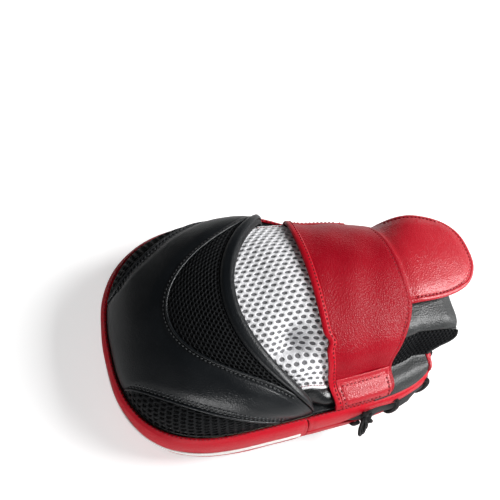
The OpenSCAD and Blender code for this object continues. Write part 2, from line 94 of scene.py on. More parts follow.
# Loops and loose ends of the knots: how far along the rim, how far down, and their width or bulge
BOW_LOOPS = ((-14, 3, 4.5), (-9, 9, 4.0), (6, 7, 3.5))
BOW_TAILS = ((-11, 9, 3), (-5, 14, 3), (3, 14, 5), (8, 8, 3))
FAR_TAILS = ((-3, 10, 2), (2, 11, 2))

# Layers of the pad
COVER_THICK = 2.0
COVER_INSET = RIM_LAP + 0.4
FOAM_INSET = COVER_INSET + 1
FACE_FOAM_DEPTH = 10.0
CORE_FOAM_DEPTH = 13.5
CORE_INSET = 2.8
CORE_SWELL = 5.2
FOAM_GAP = 1.0
FOAM_HIDE = 5.0
FACE_LOW = COVER_THICK + SEAM_GAP
FACE_TOP = FACE_LOW + FACE_FOAM_DEPTH
CORE_LOW = FACE_TOP + SEAM_GAP
CORE_TOP = CORE_LOW + CORE_FOAM_DEPTH
BACK_FOAM_LOW = CORE_TOP + SEAM_GAP
BACK_LOW = PAD_THICK - COVER_THICK

# Hood
HOOD_HEIGHT = 47.0
HOOD_CORNER_U = 14.5
HOOD_SCOOP = 40.0
HOOD_THICK = 2.2
HOOD_INSET = RIM_LAP + 0.5
HOOD_POWER = 0.85
WALL_POWER = 0.55
OPENING_POWER = 2
LINING_THICK = 3.5
LINING_TOP = HOOD_THICK + 2 * SEAM_GAP + 0.2
BINDING_FROM = 0.89
HOOD_SPAN = (0.008, 0.992)
CRESCENT_SHARE = 0.40
CRESCENT_FROM = 0.1
CRESCENT_POWER = 2.7
CRESCENT_CUT = 0.19
GUSSET_FROM = 0.057
GUSSET_REACH = 0.394
GUSSET_RISE = 0.285
GUSSET_POWER = 0.7
FAR_DRAW = 0.12
FAR_DRAW_SPAN = (HOOD_CORNER_U - 6, HOOD_CORNER_U + 30)
CORNER_SHARE = (HOOD_CORNER_U - WIDE_U) / (WRIST_REACH - HOOD_INSET)
CORNER_HALF = (PAD_WIDTH / 2 - HOOD_INSET) * (1 - CORNER_SHARE ** WRIST_SQUARE) ** (1 / WRIST_SQUARE)
HOOD_ANGLE = math.degrees(math.atan2(CORNER_HALF, HOOD_CORNER_U - WIDE_U))

# Strap
STRAP_START_U = 26.0
STRAP_END_U = 94.5
STRAP_HEIGHT = 46.0
STRAP_THICK = 2.4
STRAP_POWER = 1.15
STRAP_INSET = RIM_LAP - 0.5
STRAP_LEAD = 5.0
STRAP_TRAIL = 16.0
STRAP_LEAN = 0.07
STRAP_BINDING_W = 6.5
STRAP_HEM = 4.6
NOTCH_DEPTH = 2.5
NOTCH_SPOT = 0.325
NOTCH_SPREAD = 0.018
FOOT_SINK = 10.0
FOOT_SPOT = 0.17
FOOT_SPREAD = 0.07

# Hand mesh and side strips
SIDE_INSET = HOOD_INSET + 3.2
SIDE_TOP = 0.139
SIDE_TUCK = 18.0
STRIP_TUCK = 5.0
TUCK_INSET = HOOD_INSET + HOOD_THICK + LINING_THICK + 3 * SEAM_GAP + 0.6
MESH_DROP = 0.6
MESH_THICK = 1.6
MESH_TUCK = 9.0
MESH_HEIGHT = HOOD_HEIGHT - HOOD_THICK - LINING_THICK - 3 * SEAM_GAP - MESH_DROP
STRAP_ROOM = STRAP_HEIGHT - STRAP_THICK - SEAM_GAP - MESH_DROP
RISE_LENGTH = 41.0

# Flap
FLAP_WIDTH = 94.0
FLAP_LENGTH = 63.0
FLAP_OFFSET = 24.0
FLAP_DROOP = 2.0
FLAP_DROOP_FROM = 0.45
FLAP_START_U = STRAP_END_U + 0.7
FLAP_TOP = STRAP_HEIGHT - STRAP_THICK - 0.6
FLAP_THICK = 2.0
FLAP_LINING_THICK = 1.2
FLAP_END = 0.997
FLAP_GAP = 0.6
FLAP_FLATTEN = 35.0
FLAP_CURVE = 2.7
FLAP_ROOT = -0.19
FLAP_TIP = 0.9995
FLAP_ROOT_SINK = 1.3
FLAP_ROOT_CUT = 19.0
FLAP_STITCH = 3.6
TAPE_THICK = 1.1
PATCH_THICK = 0.9
PATCH_WIDTH = 22.0
LINING_LOW = FLAP_THICK + FLAP_GAP
HOOK_LOW = FLAP_THICK + FLAP_LINING_THICK + 2 * FLAP_GAP

# Cuff and palm grip
CUFF_DROP = 0.5
CUFF_THICK = 2.2
CUFF_START_U = 62.0
CUFF_END_U = 134.5
CUFF_HEIGHT = (FLAP_TOP - FLAP_THICK - FLAP_LINING_THICK - TAPE_THICK - PATCH_THICK
               - 2 * FLAP_GAP - SEAM_GAP - CUFF_DROP)
CUFF_POWER = 1.1
CUFF_CUT = 23.0
CUFF_HOLD = 25.0
CUFF_FALL = 3.0
CUFF_FOOT_INSET = RIM_LAP - 3.5
CUFF_FOOT_SPREAD = 0.05
CUFF_TRIM_W = 3.3
CUSHION_THICK = 8.0
CUSHION_LOW = 0.27
CUSHION_LAP = 0.012
CUSHION_ROLL = 4.2
CUSHION_FALL = 1.2
BAND_START_U = CUFF_START_U + 6
BAND_LOW = 0.165
BAND_HIGH = CUSHION_LOW + 0.006
GRIP_U = 45.0
GRIP_HEIGHT = 13.0
GRIP_HALF_LENGTH = 24.0
GRIP_HALF_WIDTH = 32.0
GRIP_TOP_ANGLE = 84.0
GRIP_SAG = GRIP_HALF_LENGTH ** 2 / (2 * BEND_RADIUS)

# Knitted meshes and sewing
HAND_KNIT = {"pitch": 5.8, "row": 4.2, "hole": (1.85, 1.32), "thick": 0.9}
CRESCENT_KNIT = {"pitch": 4.2, "row": 2.5, "hole": (1.4, 0.95), "thick": 0.9}
GUSSET_KNIT = {"pitch": 5.2, "row": 3.2, "hole": (1.75, 1.2), "thick": 1.0}
BAND_KNIT = {"pitch": 3.4, "row": 2.5, "hole": (0.95, 0.72), "thick": 1.0}
# Stitch rows beside the hood's seams: distance from the seam and depth
SEAM_ROWS = ((2.4, -0.45), (5.4, -0.7))

# Place of the part in its frame: both ends of the face lie on the floor, and the box is centred
LIFT = BEND_RADIUS * (1 - math.cos((HALF_LENGTH - RIM_LAP) / BEND_RADIUS))
LOW_X = -(BEND_RADIUS + HALF_THICK) * math.sin(HALF_LENGTH / BEND_RADIUS)
HIGH_X = ((BEND_RADIUS + DECK + FLAP_TOP - FLAP_DROOP)
          * math.sin((FLAP_START_U + FLAP_LENGTH * FLAP_END) / BEND_RADIUS))
SHIFT_X = -(LOW_X + HIGH_X) / 2


# Surfaces of the part, which give points in millimetres, and the functions they use
def sin_deg(angle):
    return np.sin(np.radians(angle))


def cos_deg(angle):
    return np.cos(np.radians(angle))


def ramp(x, low, high):
    s = np.clip((x - low) / (high - low), 0, 1)
    return s * s * (3 - 2 * s)


def steady(value):
    """Edge or inset that is the same everywhere."""
    def value_at(spot):
        return value + 0 * spot
    return value_at


def beside(edge, offset):
    """Edge at a distance beside another."""
    def value_at(spot):
        return edge(spot) + offset
    return value_at


def between(point, t0, t1, low, high):
    """Part of a surface from t0 to t1 and between two edges, with coordinates from 0 to 1."""
    def surface(s, x, depth):
        t = t0 + (t1 - t0) * s
        start = low(t)
        return point(t, start + (high(t) - start) * x, depth)
    return surface


def place(u, v, w):
    """Bends flat points round the long curve of the striking face."""
    u, v, w = np.broadcast_arrays(*(np.asarray(c, float) for c in (u, v, w)))
    turn = u / BEND_RADIUS
    reach = BEND_RADIUS + w
    draw = np.where(v > 0, FAR_DRAW * ramp(u, *FAR_DRAW_SPAN), 0)
    x = reach * np.sin(turn) + SHIFT_X
    z = reach * np.cos(turn) - BEND_RADIUS + LIFT
    return np.stack([x, v * (1 - draw), z], -1)


def outline(angle, inset):
    c = cos_deg(angle)
    s = sin_deg(angle)
    a = np.where(c < 0, TIP_TO_WIDE, WRIST_REACH) - inset
    b = PAD_WIDTH / 2 - inset
    n = np.where(c < 0, TIP_SQUARE, WRIST_SQUARE)
    r = ((np.abs(c) / a) ** n + (np.abs(s) / b) ** n) ** (-1 / n)
    along = np.where(c > 0, np.clip(r * c / a, 0, 1), 0)
    return WIDE_U + r * c, r * s * (1 - WRIST_TAPER * along ** TAPER_POWER)


def half_width(u, inset):
    u = np.asarray(u, float)
    tip = u < WIDE_U
    a = np.where(tip, TIP_TO_WIDE, WRIST_REACH) - inset
    b = PAD_WIDTH / 2 - inset
    n = np.where(tip, TIP_SQUARE, WRIST_SQUARE)
    s = np.clip(np.abs(u - WIDE_U) / a, 0, 0.999)
    taper = np.where(tip, 1, 1 - WRIST_TAPER * s ** TAPER_POWER)
    return b * (1 - s ** n) ** (1 / n) * taper


def rim_inset(section, depth):
    return RIM_LAP * (1 - np.abs(sin_deg(section)) ** RIM_ROUND) + depth * sin_deg(section)


def rim_point(angle, section, depth):
    """Point of the rim: angle round the pad, section from its face (0) to its back (180)."""
    u, v = outline(angle, rim_inset(section, depth))
    return place(u, v, HALF_THICK * (1 - cos_deg(section)) + depth * cos_deg(section))


def from_wrist(angle):
    return np.abs((angle + 180) % 360 - 180)


def laced(angle):
    return 1 - ramp(from_wrist(angle), LACE_HALF_ANGLE - LACE_FADE, LACE_HALF_ANGLE)


def lace_angle(step):
    return -LACE_SPAN_ANGLE + 2 * LACE_SPAN_ANGLE * step / LACE_STEPS


def slit_open(angle):
    """How far the laced slit gapes: shut beside the finger rim, open between the knots."""
    return ramp(LACE_SPAN_ANGLE + 5 - from_wrist(angle), 0, 8)


def scallop(angle):
    """How far the laced edges are drawn back between the lace holes."""
    step = (angle + LACE_SPAN_ANGLE) / (2 * LACE_SPAN_ANGLE) * LACE_STEPS
    return np.abs(np.sin(np.pi * step)) ** 1.5


def slit_edge(shut, gape, drawn_back):
    """Edge of a wrist rim along the slit, as a section of the rim."""
    def section_at(angle):
        return shut + (gape + drawn_back * scallop(angle)) * slit_open(angle)
    return section_at


def foam_inset(w):
    section = np.degrees(np.arccos(np.clip((HALF_THICK - w) / (HALF_THICK - RIM_THICK), -1, 1)))
    return float(rim_inset(section, RIM_THICK) + FOAM_GAP)


def opening_u(t):
    return HOOD_CORNER_U - HOOD_SCOOP * np.abs(sin_deg(180 * t)) ** OPENING_POWER


def hood_flat(t, r, depth):
    t = np.asarray(t, float)
    rim_u, rim_v = outline(360 - HOOD_ANGLE - t * (360 - 2 * HOOD_ANGLE), HOOD_INSET + depth)
    edge_v = -half_width(HOOD_CORNER_U, HOOD_INSET + depth) * cos_deg(180 * t)
    rise = ((HOOD_HEIGHT - depth) * np.abs(sin_deg(180 * t)) ** HOOD_POWER
            * np.abs(sin_deg(90 * r)) ** WALL_POWER)
    return rim_u * (1 - r) + opening_u(t) * r, rim_v * (1 - r) + edge_v * r, DECK + rise


def hood_point(t, r, depth):
    """Point of the hood: t from its near corner to its far one, r from the rim to the opening."""
    return place(*hood_flat(t, r, depth))


def hood_run(t):
    """Length of the hood from the rim to its opening."""
    near = np.stack(hood_flat(t, 0.0, 0.0), -1)
    far = np.stack(hood_flat(t, 1.0, 0.0), -1)
    return np.linalg.norm(far - near, axis=-1)


def gusset_edge(t):
    x = np.clip((np.minimum(t, 1 - t) - GUSSET_FROM) / (GUSSET_REACH - GUSSET_FROM), 0, 1)
    return GUSSET_RISE * np.maximum(0, sin_deg(180 * x)) ** GUSSET_POWER


def crescent_edge(t):
    x = np.clip((t - CRESCENT_FROM) / (1 - 2 * CRESCENT_FROM), 0, 1)
    return BINDING_FROM - CRESCENT_SHARE * np.abs(sin_deg(180 * x)) ** CRESCENT_POWER


def arch(u, t, half, height, power):
    """Arch over the back of the hand, drawn in above its near foot."""
    sink = (FOOT_SINK * np.exp(-((t - FOOT_SPOT) / FOOT_SPREAD) ** 2)
            * ramp(u, HOOD_CORNER_U, STRAP_START_U + 4))
    v = -half * cos_deg(180 * t)
    v = v - 0.5 * sink * np.sign(v)
    return place(u, v, DECK + height * np.abs(sin_deg(180 * t)) ** power - sink)


def cover_point(t, u, depth):
    """Point of the hand cover, which runs from inside the hood to inside the strap."""
    s = ramp(u, STRAP_START_U - RISE_LENGTH, STRAP_START_U)
    tuck = (TUCK_INSET - SIDE_INSET) * (1 - ramp(u, HOOD_CORNER_U - 2, HOOD_CORNER_U + 12))
    half = half_width(np.maximum(u, HOOD_CORNER_U), SIDE_INSET + tuck + depth)
    height = MESH_HEIGHT * (1 - s) + STRAP_ROOM * s - depth
    return arch(u, t, half, height, HOOD_POWER * (1 - s) + STRAP_POWER * s)


def strap_left(t):
    notch = NOTCH_DEPTH * np.exp(-((t - NOTCH_SPOT) / NOTCH_SPREAD) ** 2)
    return STRAP_START_U + STRAP_LEAD * np.abs(cos_deg(180 * t)) ** 6 + notch


def strap_right(t):
    near_side = ramp(0.5 + STRAP_LEAN - t, 0.16, 0.4)
    return STRAP_END_U - STRAP_TRAIL * np.maximum(near_side, ramp(t, 0.834, 0.866))


def strap_point(t, u, depth):
    return arch(u, t, half_width(u, STRAP_INSET + depth), STRAP_HEIGHT - depth, STRAP_POWER)


FLAP_ARCH_HALF = float(half_width(STRAP_END_U, STRAP_INSET))


def flap_half(s):
    return FLAP_WIDTH / 2 * (1 - np.clip(s, 0, 1) ** FLAP_CURVE) ** (1 / FLAP_CURVE)


def flap_point(s, v, depth):
    drop = FLAP_DROOP * (np.maximum(0, s - FLAP_DROOP_FROM) / (1 - FLAP_DROOP_FROM)) ** 2
    half = FLAP_ARCH_HALF + FLAP_FLATTEN * ramp(s, 0, 0.5)
    curve = (1 - (v / half) ** 2) ** (STRAP_POWER / 2)
    return place(FLAP_START_U + FLAP_LENGTH * s, v, DECK + (FLAP_TOP - drop) * curve - depth)


def cuff_edge(t):
    return CUFF_END_U - CUFF_CUT * (1 - ramp(sin_deg(180 * t), 0.44, 0.72))


def cuff_point(t, u, depth):
    held = half_width(np.minimum(u, HALF_LENGTH - CUFF_HOLD), SIDE_INSET + depth)
    sewn = half_width(u, CUFF_FOOT_INSET + depth)
    half = held + (sewn - held) * np.exp(-np.minimum(t, 1 - t) / CUFF_FOOT_SPREAD)
    fall = CUFF_FALL * ramp(u, FLAP_START_U + PATCH_WIDTH + 2, CUFF_END_U)
    return arch(u, t, half, CUFF_HEIGHT - depth - fall, CUFF_POWER)


# Materials: each kind gives a material and the slot it belongs to
def new_material(name):
    material = bpy.data.materials.new(name)
    material.use_nodes = True
    return material, material.node_tree, material.node_tree.nodes["Principled BSDF"]


def add(tree, kind, settings=None, **inputs):
    node = tree.nodes.new(kind)
    for key, value in (settings or {}).items():
        setattr(node, key, value)
    for key, value in inputs.items():
        node.inputs[key.replace("_", " ")].default_value = value
    return node


def link(tree, start, end):
    tree.links.new(start, end)


def math_node(tree, operation, *values):
    node = add(tree, "ShaderNodeMath", {"operation": operation})
    for socket, value in zip(node.inputs, values):
        if isinstance(value, (int, float)):
            socket.default_value = value
        else:
            link(tree, value, socket)
    return node.outputs[0]


def texture(tree, spot, kind, settings=None, **inputs):
    node = add(tree, "ShaderNodeTex" + kind, settings, **inputs)
    link(tree, spot, node.inputs["Vector"])
    return node


def blend_colour(tree, factor, first, second):
    node = add(tree, "ShaderNodeMix", {"data_type": "RGBA"})
    link(tree, factor, node.inputs["Factor"])
    for key, value in (("A", first), ("B", second)):
        socket = [i for i in node.inputs if i.name == key and i.type == "RGBA"][0]
        if isinstance(value, tuple):
            socket.default_value = (*value, 1)
        else:
            link(tree, value, socket)
    return [o for o in node.outputs if o.type == "RGBA"][0]


def spread_values(tree, value, low, high, to_low, to_high):
    node = add(tree, "ShaderNodeMapRange", From_Min=low, From_Max=high, To_Min=to_low, To_Max=to_high)
    link(tree, value, node.inputs["Value"])
    return node.outputs["Result"]


def vary_gloss(tree, shader, tone, rough, spread):
    gloss = spread_values(tree, tone, 0.3, 0.7, rough - spread, rough + spread)
    link(tree, gloss, shader.inputs["Roughness"])


def bump(tree, shader, height, distance, strength):
    node = add(tree, "ShaderNodeBump", Strength=strength, Distance=distance)
    link(tree, height, node.inputs["Height"])
    link(tree, node.outputs["Normal"], shader.inputs["Normal"])


def darker(colour, share):
    return tuple(share * c for c in colour)


def leather(name, slot, colour, deep, rough, grain=430.0, depth=0.0003, shine=0.5):
    """Grained leather: pebbled cells over fine pores, with soft changes of colour and gloss."""
    material, tree, shader = new_material(name)
    spot = add(tree, "ShaderNodeTexCoord").outputs["Object"]
    broad = texture(tree, spot, "Noise", Scale=28.0, Detail=4.0, Roughness=0.6)
    fine = texture(tree, spot, "Noise", Scale=grain * 2.2, Detail=3.0, Roughness=0.6)
    warp = texture(tree, spot, "Noise", Scale=grain * 0.35, Detail=2.0)
    bent = add(tree, "ShaderNodeVectorMath", {"operation": "MULTIPLY_ADD"})
    bent.inputs[1].default_value = (0.0012, 0.0012, 0.0012)
    link(tree, warp.outputs["Color"], bent.inputs[0])
    link(tree, spot, bent.inputs[2])
    cells = texture(tree, bent.outputs[0], "Voronoi", {"feature": "DISTANCE_TO_EDGE"}, Scale=grain)
    pebble = spread_values(tree, cells.outputs["Distance"], 0.0, 0.32, 0.0, 1.0)
    shade = blend_colour(tree, broad.outputs["Fac"], deep, colour)
    crease = spread_values(tree, pebble, 0.0, 0.5, 0.82, 1.0)
    link(tree, blend_colour(tree, crease, darker(deep, 0.55), shade), shader.inputs["Base Color"])
    vary_gloss(tree, shader, broad.outputs["Fac"], rough, 0.06)
    bump(tree, shader, math_node(tree, "MULTIPLY_ADD", fine.outputs["Fac"], 0.35, pebble), depth, 0.75)
    shader.inputs["Specular IOR Level"].default_value = shine
    return material, slot


def yarn(name, slot, colour, deep, rough, scale=1500.0, sheen=0.2, depth=0.0002, shine=0.4):
    """Knitted or woven yarn: fine twisted threads with a soft sheen."""
    material, tree, shader = new_material(name)
    spot = add(tree, "ShaderNodeTexCoord").outputs["Object"]
    weave = texture(tree, spot, "Wave", Scale=scale / 6, Distortion=4.0, Detail=2.0, Detail_Scale=2.0)
    cross = texture(tree, spot, "Wave", {"bands_direction": "Y"}, Scale=scale / 6, Distortion=4.0)
    tone = texture(tree, spot, "Noise", Scale=60.0, Detail=5.0, Roughness=0.7)
    threads = math_node(tree, "MAXIMUM", weave.outputs["Fac"], cross.outputs["Fac"])
    shade = blend_colour(tree, tone.outputs["Fac"], deep, colour)
    raised = spread_values(tree, threads, 0.0, 1.0, 0.6, 1.0)
    link(tree, blend_colour(tree, raised, darker(deep, 0.6), shade), shader.inputs["Base Color"])
    vary_gloss(tree, shader, tone.outputs["Fac"], rough, 0.05)
    bump(tree, shader, threads, depth, 0.6)
    shader.inputs["Specular IOR Level"].default_value = shine
    shader.inputs["Sheen Weight"].default_value = sheen
    shader.inputs["Sheen Roughness"].default_value = 0.5
    return material, slot


def pile(name, slot, colour, deep, rough, scale=2400.0, depth=0.0005):
    """Fuzzy or porous stuff: foam, hook tape and loop tape."""
    material, tree, shader = new_material(name)
    spot = add(tree, "ShaderNodeTexCoord").outputs["Object"]
    pores = texture(tree, spot, "Voronoi", Scale=scale)
    tone = texture(tree, spot, "Noise", Scale=scale / 6, Detail=6.0, Roughness=0.75)
    shade = blend_colour(tree, tone.outputs["Fac"], deep, colour)
    dotted = blend_colour(tree, pores.outputs["Distance"], darker(deep, 0.6), shade)
    link(tree, dotted, shader.inputs["Base Color"])
    vary_gloss(tree, shader, tone.outputs["Fac"], rough, 0.05)
    bump(tree, shader, pores.outputs["Distance"], depth, 0.8)
    return material, slot


RED = leather("red_leather", "red_leather", (0.50, 0.005, 0.019), (0.38, 0.004, 0.013),
              rough=0.36, grain=600.0, depth=0.00016, shine=0.6)
# Darker copy of the red leather for the hand strap: its deeper base colour is painted shade
STRAP_RED_PAINTED_SHADE = leather("strap_leather", "red_leather", (0.36, 0.003, 0.0135), (0.27, 0.002, 0.009),
                    rough=0.38, grain=560.0, depth=0.00022, shine=0.16)
RIM_RED = leather("rim_leather", "red_leather", (0.54, 0.004, 0.018), (0.42, 0.003, 0.012),
                  rough=0.42, grain=600.0, depth=0.00014, shine=0.2)
BLACK = leather("black_leather", "black_leather", (0.0045, 0.0062, 0.0080), (0.0028, 0.0038, 0.0050),
                rough=0.36, grain=560.0, depth=0.00011, shine=0.42)
# Rougher black leather for the wrist cushion and cuff panels, with a lighter base colour that is partly
# painted highlight
CUFF_BLACK_PAINTED_HIGHLIGHT = leather("cuff_leather", "black_leather", (0.020, 0.022, 0.0225), (0.013, 0.0145, 0.015),
                     rough=0.44, grain=520.0, depth=0.00016, shine=0.55)
GLOSSY = leather("black_patent_leather", "black_leather", (0.006, 0.007, 0.008), (0.004, 0.0045, 0.005),
                 rough=0.24, depth=0.00008)
WHITE = leather("white_leather", "white_leather", (0.82, 0.81, 0.79), (0.72, 0.71, 0.69),
                rough=0.42, depth=0.00012)
BLACK_MESH = yarn("black_mesh", "black_mesh", (0.0048, 0.0056, 0.0068), (0.0024, 0.0028, 0.0034),
                  rough=0.6, sheen=0.0, shine=0.15)
BAND_MESH = yarn("band_mesh", "black_mesh", (0.0045, 0.0052, 0.0064), (0.0022, 0.0025, 0.003),
                 rough=0.75, sheen=0.0, shine=0.08)
WHITE_MESH = yarn("white_mesh", "white_mesh", (0.86, 0.86, 0.88), (0.74, 0.74, 0.76), rough=0.62, sheen=0.1)
GREY_MESH = yarn("mesh_inner", "white_mesh", (0.21, 0.21, 0.22), (0.14, 0.14, 0.15), rough=0.8, scale=3000.0)
LINING = yarn("black_lining", "black_lining", (0.006, 0.006, 0.007), (0.003, 0.003, 0.0035),
              rough=0.85, scale=4200.0)
LACE = yarn("black_lace", "lace", (0.0075, 0.0075, 0.0082), (0.003, 0.003, 0.0036),
            rough=0.55, scale=5200.0, sheen=0.03, depth=0.0004, shine=0.2)
THREAD = {"scale": 9000.0, "sheen": 0.0, "depth": 0.00003}
RED_THREAD = yarn("red_thread", "red_leather", (0.28, 0.005, 0.013), (0.18, 0.003, 0.009),
                  rough=0.6, **THREAD)
BLACK_THREAD = yarn("black_thread", "black_leather", (0.048, 0.051, 0.054), (0.028, 0.030, 0.032),
                    rough=0.4, **THREAD)
FOAM = pile("cream_foam", "foam", (0.74, 0.70, 0.58), (0.60, 0.56, 0.45), rough=0.9, scale=1600.0)
DENSE_FOAM = pile("dense_foam", "dense_foam", (0.035, 0.036, 0.038), (0.022, 0.022, 0.024),
                  rough=0.85, scale=2200.0)
TAPE = pile("hook_and_loop", "hook_and_loop", (0.013, 0.013, 0.013), (0.006, 0.006, 0.006), rough=0.85)


# Mesh building
def new_object(name, data):
    thing = bpy.data.objects.new(name, data)
    scene.collection.objects.link(thing)
    return thing


def make(name, shape, stuff, *nodes, body="mitt", closed=True):
    """New piece from points in millimetres; it rides on a body and stands for CAD nodes."""
    points, faces = shape
    material, slot = stuff
    mesh = bpy.data.meshes.new(name)
    mesh.from_pydata((np.asarray(points) * MM).tolist(), [], [list(f) for f in faces])
    if closed:
        work = bmesh.new()
        work.from_mesh(mesh)
        bmesh.ops.remove_doubles(work, verts=work.verts, dist=1e-6)
        bmesh.ops.recalc_face_normals(work, faces=work.faces)
        work.to_mesh(mesh)
        work.free()
    mesh.polygons.foreach_set("use_smooth", [True] * len(mesh.polygons))
    mesh.materials.append(material)
    piece = new_object(name, mesh)
    if body:
        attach(piece, body)
    if nodes:
        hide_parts(*nodes)
    return piece


def dense_ends(count, share=0.65):
    """Values from 0 to 1 that lie closer together towards both ends."""
    x = np.linspace(0, 1, count + 1)
    return (1 - share) * x + share * (0.5 - 0.5 * np.cos(np.pi * x))


def lengths(points, axis):
    step = np.linalg.norm(np.diff(points, axis=axis), axis=-1)
    total = np.cumsum(step, axis=axis)
    return np.concatenate([np.zeros_like(np.take(total, [0], axis)), total], axis)


def grid_faces(rows, cols, first=0):
    index = first + np.arange(rows * cols).reshape(rows, cols)
    corners = (index[:-1, :-1], index[:-1, 1:], index[1:, 1:], index[1:, :-1])
    return np.stack(corners, -1).reshape(-1, 4)


def wave(points, size, seed):
    """Smooth unevenness from a few sine waves, between about -1 and 1."""
    chance = np.random.default_rng(seed)
    total = 0
    for k in range(6):
        way = chance.normal(size=3)
        way *= 2 * np.pi / (np.linalg.norm(way) * size * chance.uniform(0.7, 1.5))
        total = total + np.sin(points @ way + chance.uniform(0, 2 * np.pi))
    return total / 3


def round_edge(near, edge):
    """Share of the full thickness at a distance from the edge."""
    return np.sqrt(1 - (1 - np.clip(near / edge, 0, 1)) ** 2)


def panel(surface, cells, depths, edge, puff=0.0, reach=10.0, grooves=(), uneven=0.0, seed=1):
    """Closed sheet of a surface between two depths: rounded edges, puffed middle, sewn grooves."""
    s, t = np.meshgrid(dense_ends(cells[0]), dense_ends(cells[1]), indexing="ij")
    top, bottom = depths
    centre = (top + bottom) / 2
    half = (bottom - top) / 2
    middle = surface(s, t, centre)
    along, across = lengths(middle, 0), lengths(middle, 1)
    sides = [along, along[-1:] - along, across, across[:, -1:] - across]
    near = np.minimum.reduce(np.broadcast_arrays(*sides))
    rounded = round_edge(near, edge)
    lift = puff * ramp(near, 0, reach) + uneven * wave(middle, 34, seed) * ramp(near, 0, 8)
    for distance, groove in grooves:
        lift = lift - groove * np.exp(-((near - distance) / 0.9) ** 2)
    upper = surface(s, t, centre - (half + lift) * rounded)
    lower = surface(s, t, centre + half * rounded)
    points = np.concatenate([upper.reshape(-1, 3), lower.reshape(-1, 3)])
    return points, np.concatenate([grid_faces(*s.shape), grid_faces(*s.shape, first=s.size)[:, ::-1]])


def disc(levels, insets, edge, crown=0.0, uneven=0.0, seed=2):
    """Closed layer of the pad between two levels, with a rounded edge and a crown on its lower side."""
    turns, rings = 200, 34
    share = 1 - (1 - np.linspace(0, 1, rings + 1)) ** 1.8
    angle, q = np.meshgrid(np.arange(turns) * 360 / turns, share, indexing="ij")
    low, high = levels
    half = (high - low) / 2
    sides = []
    for inset, way, swell in ((insets[1], 1, 0.0), (insets[0], -1, crown)):
        rim_u, rim_v = outline(angle, inset(angle))
        u = WIDE_U + q * (rim_u - WIDE_U)
        v = q * rim_v
        near = (1 - q) * np.hypot(rim_u - WIDE_U, rim_v)
        flat = np.stack([u, v, 0 * u], -1)
        lift = swell * ramp(near, 0, 40) + uneven * wave(flat, 70, seed) * ramp(near, 4, 40)
        sides.append(place(u, v, (high + low) / 2 + way * (half * round_edge(near, edge) + lift)))
    index = np.arange(angle.size).reshape(turns, rings + 1)
    after = np.roll(index, -1, 0)
    quads = np.stack([index[:, :-1], index[:, 1:], after[:, 1:], after[:, :-1]], -1).reshape(-1, 4)
    points = np.concatenate([side.reshape(-1, 3) for side in sides])
    return points, np.concatenate([quads, angle.size + quads[:, ::-1]])


def joined(parts):
    """Several (points, faces) as one."""
    points, faces, start = [], [], 0
    for some_points, some_faces in parts:
        points.append(some_points)
        faces.extend([int(i) + start for i in face] for face in some_faces)
        start += len(some_points)
    return np.concatenate(points), faces


def tube(path, radius, sides=10, rounded_ends=True):
    """Round cord along a path, with rounded ends."""
    path = np.asarray(path, float)
    ahead = np.gradient(path, axis=0)
    ahead /= np.linalg.norm(ahead, axis=1)[:, None] + 1e-12
    turn = np.arange(sides)[:, None] * 2 * np.pi / sides
    radii = np.broadcast_to(np.asarray(radius, float), len(path)).copy()
    if rounded_ends:
        gone = lengths(path, 0)
        left = np.minimum(gone, gone[-1] - gone)
        radii = radii * np.sqrt(1 - (1 - np.clip(left / radii, 0, 1)) ** 2 * 0.97)
    x = np.cross(ahead[0], [0.3, 0.2, 0.9])
    rings = []
    for centre, way, r in zip(path, ahead, radii):
        x = x - way * (x @ way)
        x = x / np.linalg.norm(x)
        rings.append(centre + r * (np.cos(turn) * x + np.sin(turn) * np.cross(way, x)))
    points = np.concatenate(rings)
    faces = []
    for i in range(len(path) - 1):
        for k in range(sides):
            n = (k + 1) % sides
            faces.append((i * sides + k, i * sides + n, (i + 1) * sides + n, (i + 1) * sides + k))
    return points, faces + [tuple(range(sides))[::-1], tuple(len(points) - sides + k for k in range(sides))]


def along_path(path, spots):
    """Points at given lengths along a path."""
    gone = lengths(path, 0)
    return np.stack([np.interp(spots, gone, path[:, k]) for k in range(3)], -1)


def welt(path, radius=1.0, step=2.0):
    """Thin raised cord along a seam."""
    length = lengths(path, 0)[-1]
    spots = np.linspace(0, length, max(4, int(length / step)))
    return tube(along_path(path, spots), radius, 8)


def stitches(path, pitch=3.4, length=2.3, radius=0.6):
    """Row of sewn stitches along a path: short threads that dive in at both ends."""
    share = np.linspace(0, 1, 6)
    thick = radius * np.sqrt(1.02 - (2 * share - 1) ** 2)
    count = max(1, int((lengths(path, 0)[-1] - length) / pitch))
    return joined([tube(along_path(path, k * pitch + share * length), thick, 6, False) for k in range(count)])


